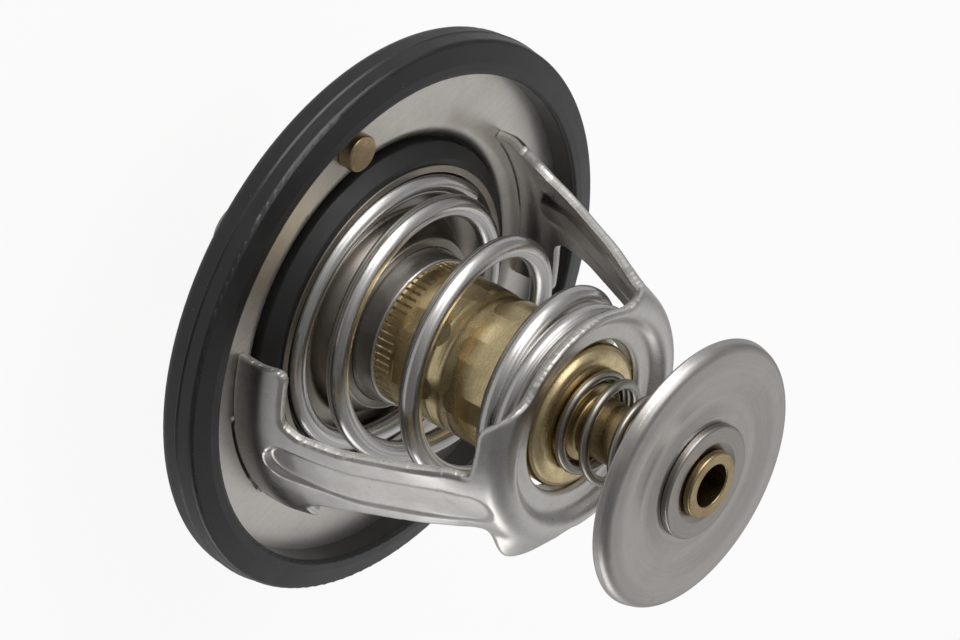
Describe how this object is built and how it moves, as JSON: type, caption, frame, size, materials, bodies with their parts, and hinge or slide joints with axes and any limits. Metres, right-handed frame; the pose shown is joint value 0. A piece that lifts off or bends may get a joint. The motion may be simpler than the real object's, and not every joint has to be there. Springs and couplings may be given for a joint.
{
  "type": "engine thermostat",
  "caption": "Wax element coolant valve for an engine: rubber rimmed flange, coil sprung main valve in a stamped frame, and a sprung disc that closes the bypass port.",
  "frame": {"origin": "on the axis, at the face of the flange plate on the engine side", "axes": "+Z along the axis from the flange to the bypass disc, +X through one leg of the frame"},
  "size_m": [0.0562, 0.0562, 0.0589],
  "materials": {
    "rim_rubber": "moulded, slightly dusty",
    "seal_rubber": "moulded, matt",
    "sheet_steel": "stamped stainless sheet, satin",
    "spring_steel": "drawn stainless wire, bright",
    "ground_steel": "turned and ground",
    "brass": "turned, slightly dull",
    "wax": "wax with copper powder"
  },
  "bodies": {
    "flange": {"gasket": "rim_rubber", "flange_plate": "sheet_steel", "outlet_bridge": "sheet_steel", "lower_frame": "sheet_steel", "piston": "ground_steel", "main_spring": "spring_steel"},
    "valve": {"valve_plate": "sheet_steel", "valve_seal": "seal_rubber", "hub_collar": "ground_steel", "element_case": "brass", "element_guide": "brass", "wax_charge": "wax", "rubber_boot": "seal_rubber", "backup_washer": "ground_steel", "piston_wiper": "seal_rubber", "bypass_stem": "brass", "bypass_washer": "sheet_steel", "bypass_spring": "spring_steel"},
    "bypass": {"bypass_disc": "sheet_steel"},
    "jiggle": {"jiggle_pin": "brass", "jiggle_weight": "brass"}
  },
  "joints": [
    {"name": "valve_slide", "type": "slide", "parent": "flange", "child": "valve", "axis": [0, 0, 1], "range_m": [0, 0.0075], "stiffness_N_per_m": 6000, "springref_m": -0.008, "deforming": ["main_spring"]},
    {"name": "bypass_slide", "type": "slide", "parent": "valve", "child": "bypass", "axis": [0, 0, -1], "range_m": [0, 0.004], "stiffness_N_per_m": 1200, "springref_m": -0.003, "deforming": ["bypass_spring"]},
    {"name": "jiggle_slide", "type": "slide", "parent": "flange", "child": "jiggle", "axis": [0, 0, 1], "range_m": [0, 0.00115]}
  ]
}
